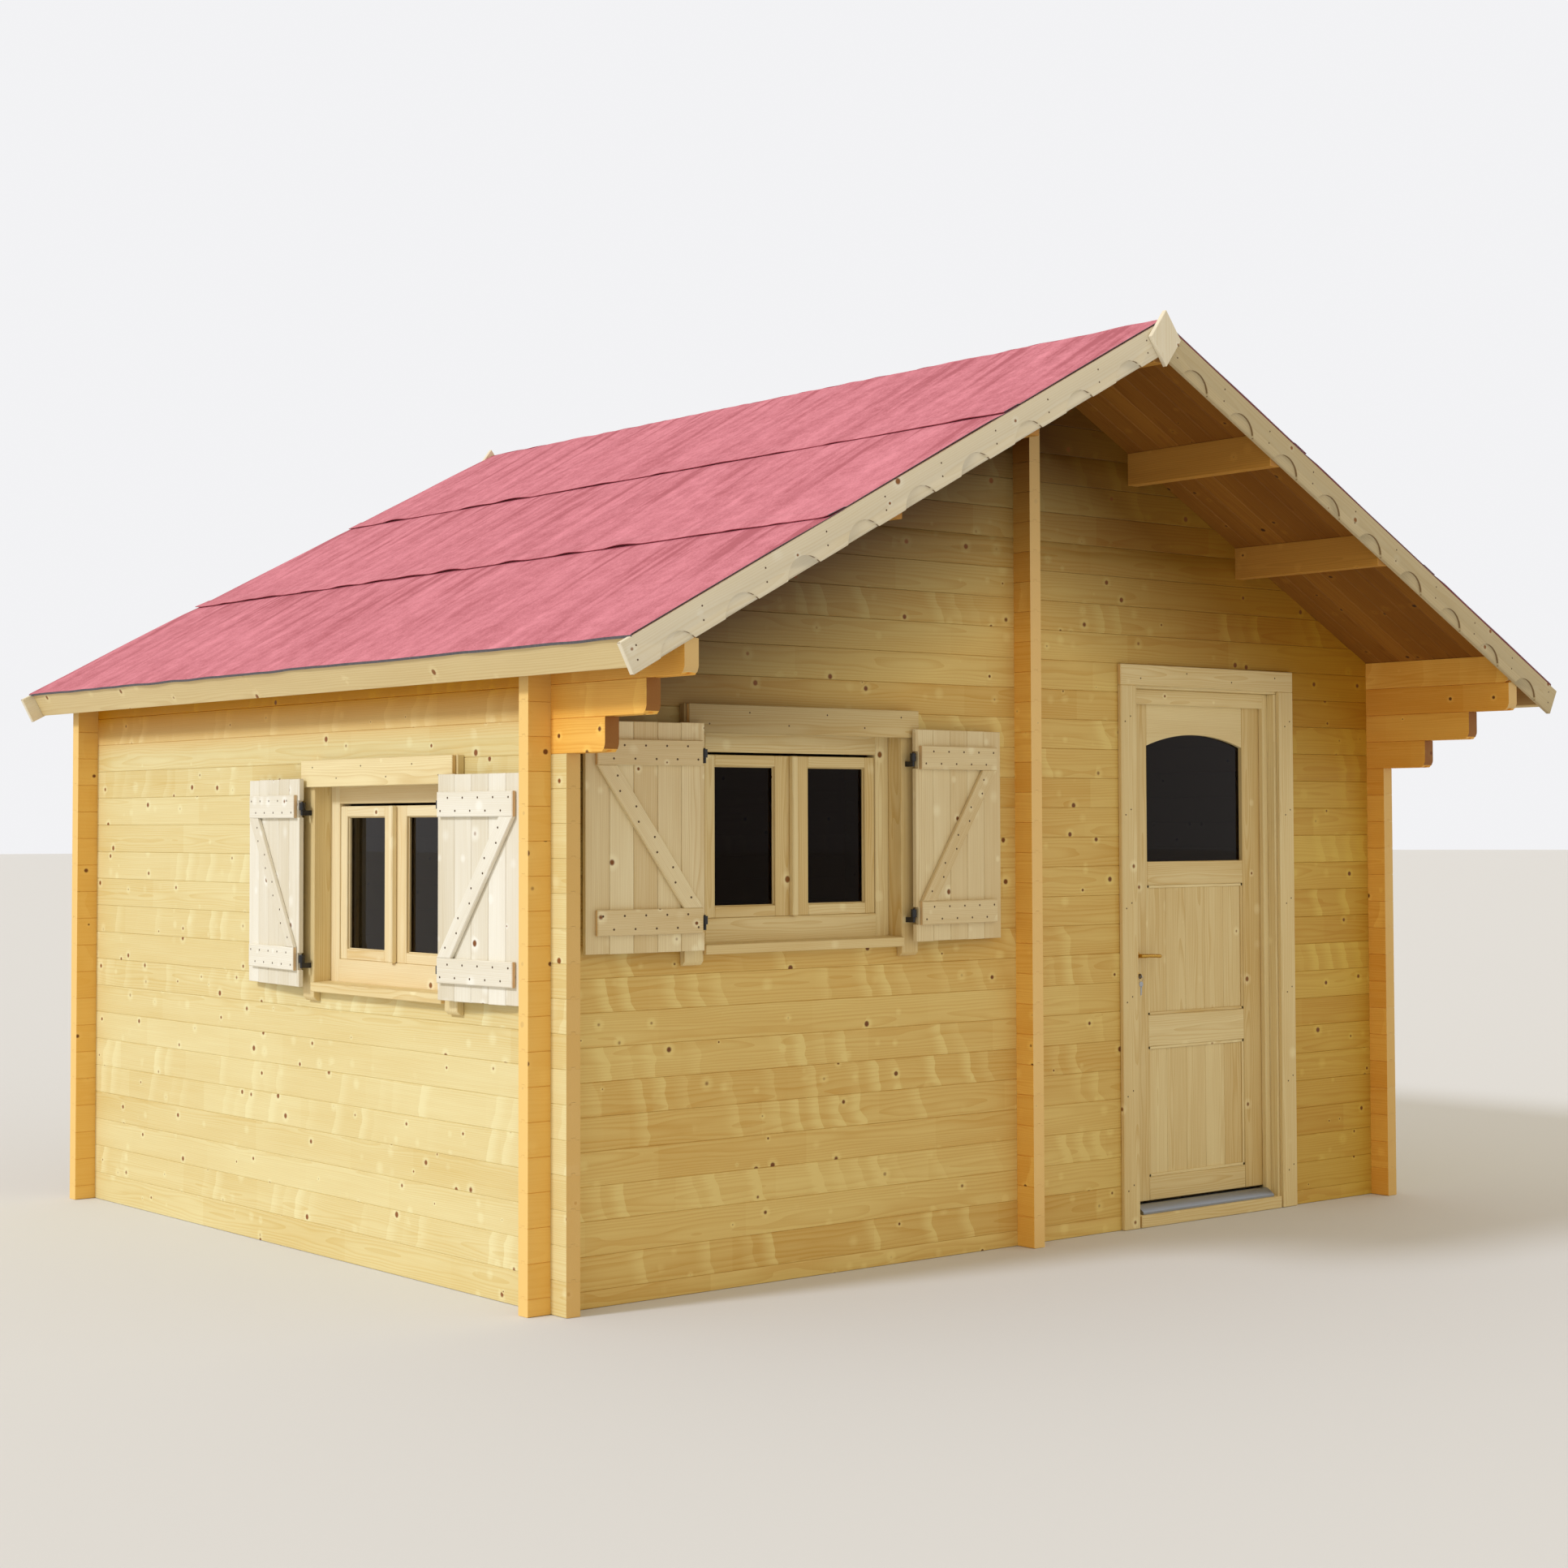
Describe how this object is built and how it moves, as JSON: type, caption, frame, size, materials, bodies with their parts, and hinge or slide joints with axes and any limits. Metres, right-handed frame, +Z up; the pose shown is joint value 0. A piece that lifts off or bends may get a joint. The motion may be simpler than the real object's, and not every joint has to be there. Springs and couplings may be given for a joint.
{
  "type": "wooden garden shed",
  "caption": "Gable-fronted garden shed of interlocking notched logs with a felted roof, decorated bargeboards, a half-glazed door that opens inwards and double windows with board shutters.",
  "frame": {"origin": "on the ground, under the middle of the roof", "axes": "+X to the right along the front, +Y from front to back, +Z up"},
  "size_m": [5.0688, 4.695, 3.6212],
  "materials": {
    "log": "planed spruce logs, oiled honey yellow",
    "floor_wood": "planed softwood boards",
    "deck_wood": "planed tongued boards",
    "felt": "red mineral roofing felt",
    "trim_wood": "planed bare spruce",
    "joinery": "planed bare spruce joinery",
    "shutter_wood": "planed bare spruce boards",
    "glazing": "clear window glass",
    "threshold_metal": "mill-finish extrusion",
    "brass": "polished brass",
    "hinge_steel": "zinc plated",
    "black_iron": "black stove paint"
  },
  "bodies": {
    "building": {"front_wall_left": "log", "front_wall_right": "log", "front_gable": "log", "back_wall": "log", "back_gable": "log", "left_wall": "log", "left_eave_logs": "log", "right_wall": "log", "right_eave_logs": "log", "front_brace_logs": "log", "back_brace_logs": "log", "ridge_purlin": "log", "left_purlins": "log", "right_purlins": "log", "floor_bearers": "floor_wood", "floor": "floor_wood", "roof_deck_left": "deck_wood", "roof_deck_right": "deck_wood", "roof_felt_left": "felt", "roof_felt_right": "felt", "fascia_left": "trim_wood", "fascia_right": "trim_wood", "bargeboard_front_left": "trim_wood", "bargeboard_front_right": "trim_wood", "bargeboard_back_left": "trim_wood", "bargeboard_back_right": "trim_wood", "diamond_front": "trim_wood", "diamond_back": "trim_wood", "door_frame": "joinery", "door_casing": "joinery", "door_sill": "joinery", "front_window_frame": "joinery", "front_window_casing": "joinery", "front_window_sashes": "joinery", "side_window_frame": "joinery", "side_window_casing": "joinery", "side_window_sashes": "joinery", "front_window_glass": "glazing", "side_window_glass": "glazing", "door_threshold": "threshold_metal", "door_hinge_pins": "hinge_steel", "front_shutter_brackets": "black_iron", "side_shutter_brackets": "black_iron"},
    "door": {"door_leaf": "joinery", "door_glass": "glazing", "door_roses": "brass", "door_hinge_eyes": "hinge_steel"},
    "handle": {"door_handle": "brass"},
    "front_left_shutter": {"front_shutter_left": "shutter_wood", "front_straps_left": "black_iron"},
    "front_right_shutter": {"front_shutter_right": "shutter_wood", "front_straps_right": "black_iron"},
    "side_left_shutter": {"side_shutter_left": "shutter_wood", "side_straps_left": "black_iron"},
    "side_right_shutter": {"side_shutter_right": "shutter_wood", "side_straps_right": "black_iron"}
  },
  "joints": [
    {"name": "door_hinge", "type": "hinge", "parent": "building", "child": "door", "pos_m": [1.561, -1.4285, 1.142], "axis": [0, 0, -1], "range_deg": [0, 100]},
    {"name": "handle_turn", "type": "hinge", "parent": "door", "child": "handle", "pos_m": [0.733, -1.4575, 1.12], "axis": [0, 1, 0], "range_deg": [0, 45]},
    {"name": "front_left_shutter_hinge", "type": "hinge", "parent": "building", "child": "front_left_shutter", "pos_m": [-1.649, -1.6145, 1.632], "axis": [0, 0, 1], "range_deg": [0, 185]},
    {"name": "front_right_shutter_hinge", "type": "hinge", "parent": "building", "child": "front_right_shutter", "pos_m": [-0.641, -1.6145, 1.632], "axis": [0, 0, -1], "range_deg": [0, 185]},
    {"name": "side_left_shutter_hinge", "type": "hinge", "parent": "building", "child": "side_left_shutter", "pos_m": [-2.334, 0.0765, 1.452], "axis": [0, 0, 1], "range_deg": [0, 185]},
    {"name": "side_right_shutter_hinge", "type": "hinge", "parent": "building", "child": "side_right_shutter", "pos_m": [-2.334, -0.9315, 1.452], "axis": [0, 0, -1], "range_deg": [0, 185]}
  ]
}
